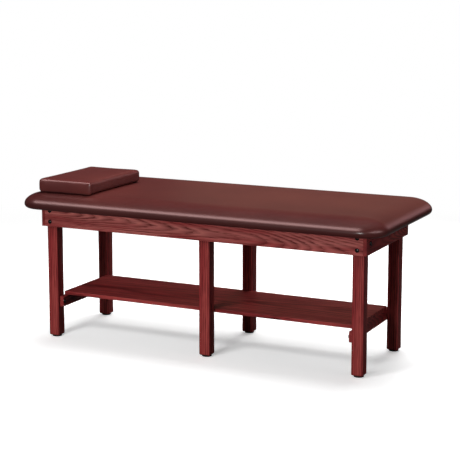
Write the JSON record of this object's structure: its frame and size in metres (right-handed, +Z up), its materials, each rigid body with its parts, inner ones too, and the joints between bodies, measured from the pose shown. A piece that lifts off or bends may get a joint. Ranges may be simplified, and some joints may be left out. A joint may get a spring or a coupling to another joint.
{
  "type": "treatment table",
  "caption": "Padded treatment table with an upholstered top, bolted oak legs and rails, a low shelf, levelling glides and a loose pillow.",
  "frame": {"origin": "on the floor under the centre of the upholstered top", "axes": "+Z up, +X along the table towards the foot end, +Y towards its back"},
  "size_m": [1.988, 0.868, 0.8573],
  "materials": {
    "vinyl": "satin",
    "foam": "matte",
    "plywood": "matte",
    "oak": "satin",
    "black_steel": "satin",
    "zinc_steel": "satin",
    "glide_nylon": "matte"
  },
  "bodies": {
    "frame": {"top_cover": "vinyl", "top_foam": "foam", "top_deck": "plywood", "front_rail": "oak", "back_rail": "oak", "head_rail": "oak", "foot_rail": "oak", "centre_cross_rail": "oak", "head_stretcher": "oak", "foot_stretcher": "oak", "shelf": "oak", "rail_bolts": "black_steel", "stretcher_bolts": "black_steel", "bolt_washers": "zinc_steel", "bolt_nuts": "zinc_steel", "leg_inserts": "zinc_steel", "angle_brackets": "zinc_steel", "bracket_screws": "zinc_steel", "glide_inserts": "zinc_steel", "front_left_leg": "oak", "front_middle_leg": "oak", "front_right_leg": "oak", "back_left_leg": "oak", "back_middle_leg": "oak", "back_right_leg": "oak"},
    "pillow": {"pillow_cover": "vinyl", "pillow_foam": "foam"},
    "front_left_glide": {"front_left_glide": "glide_nylon"},
    "front_left_stem": {"front_left_stem": "zinc_steel"},
    "front_middle_glide": {"front_middle_glide": "glide_nylon"},
    "front_middle_stem": {"front_middle_stem": "zinc_steel"},
    "front_right_glide": {"front_right_glide": "glide_nylon"},
    "front_right_stem": {"front_right_stem": "zinc_steel"},
    "back_left_glide": {"back_left_glide": "glide_nylon"},
    "back_left_stem": {"back_left_stem": "zinc_steel"},
    "back_middle_glide": {"back_middle_glide": "glide_nylon"},
    "back_middle_stem": {"back_middle_stem": "zinc_steel"},
    "back_right_glide": {"back_right_glide": "glide_nylon"},
    "back_right_stem": {"back_right_stem": "zinc_steel"}
  },
  "joints": [
    {"name": "pillow_lift", "type": "slide", "parent": "frame", "child": "pillow", "axis": [0, 0, 1], "range_m": [0, 0.3]},
    {"name": "front_left_level", "type": "slide", "parent": "frame", "child": "front_left_glide", "axis": [0, 0, -1], "range_m": [0, 0.012]},
    {"name": "front_left_stem_turn", "type": "hinge", "parent": "front_left_glide", "child": "front_left_stem", "pos_m": [-0.8715, -0.252, 0.03], "axis": [0, 0, 1], "range_deg": [-2881, 0]},
    {"name": "front_middle_level", "type": "slide", "parent": "frame", "child": "front_middle_glide", "axis": [0, 0, -1], "range_m": [0, 0.012]},
    {"name": "front_middle_stem_turn", "type": "hinge", "parent": "front_middle_glide", "child": "front_middle_stem", "pos_m": [0.019, -0.252, 0.03], "axis": [0, 0, 1], "range_deg": [-2881, 0]},
    {"name": "front_right_level", "type": "slide", "parent": "frame", "child": "front_right_glide", "axis": [0, 0, -1], "range_m": [0, 0.012]},
    {"name": "front_right_stem_turn", "type": "hinge", "parent": "front_right_glide", "child": "front_right_stem", "pos_m": [0.8315, -0.252, 0.03], "axis": [0, 0, 1], "range_deg": [-2881, 0]},
    {"name": "back_left_level", "type": "slide", "parent": "frame", "child": "back_left_glide", "axis": [0, 0, -1], "range_m": [0, 0.012]},
    {"name": "back_left_stem_turn", "type": "hinge", "parent": "back_left_glide", "child": "back_left_stem", "pos_m": [-0.8715, 0.252, 0.03], "axis": [0, 0, 1], "range_deg": [-2881, 0]},
    {"name": "back_middle_level", "type": "slide", "parent": "frame", "child": "back_middle_glide", "axis": [0, 0, -1], "range_m": [0, 0.012]},
    {"name": "back_middle_stem_turn", "type": "hinge", "parent": "back_middle_glide", "child": "back_middle_stem", "pos_m": [0.019, 0.252, 0.03], "axis": [0, 0, 1], "range_deg": [-2881, 0]},
    {"name": "back_right_level", "type": "slide", "parent": "frame", "child": "back_right_glide", "axis": [0, 0, -1], "range_m": [0, 0.012]},
    {"name": "back_right_stem_turn", "type": "hinge", "parent": "back_right_glide", "child": "back_right_stem", "pos_m": [0.8315, 0.252, 0.03], "axis": [0, 0, 1], "range_deg": [-2881, 0]}
  ],
  "couplings": [
    {"joint": "front_left_stem_turn", "follows": "front_left_level", "rad_per_m": -4188.8},
    {"joint": "front_middle_stem_turn", "follows": "front_middle_level", "rad_per_m": -4188.8},
    {"joint": "front_right_stem_turn", "follows": "front_right_level", "rad_per_m": -4188.8},
    {"joint": "back_left_stem_turn", "follows": "back_left_level", "rad_per_m": -4188.8},
    {"joint": "back_middle_stem_turn", "follows": "back_middle_level", "rad_per_m": -4188.8},
    {"joint": "back_right_stem_turn", "follows": "back_right_level", "rad_per_m": -4188.8}
  ]
}
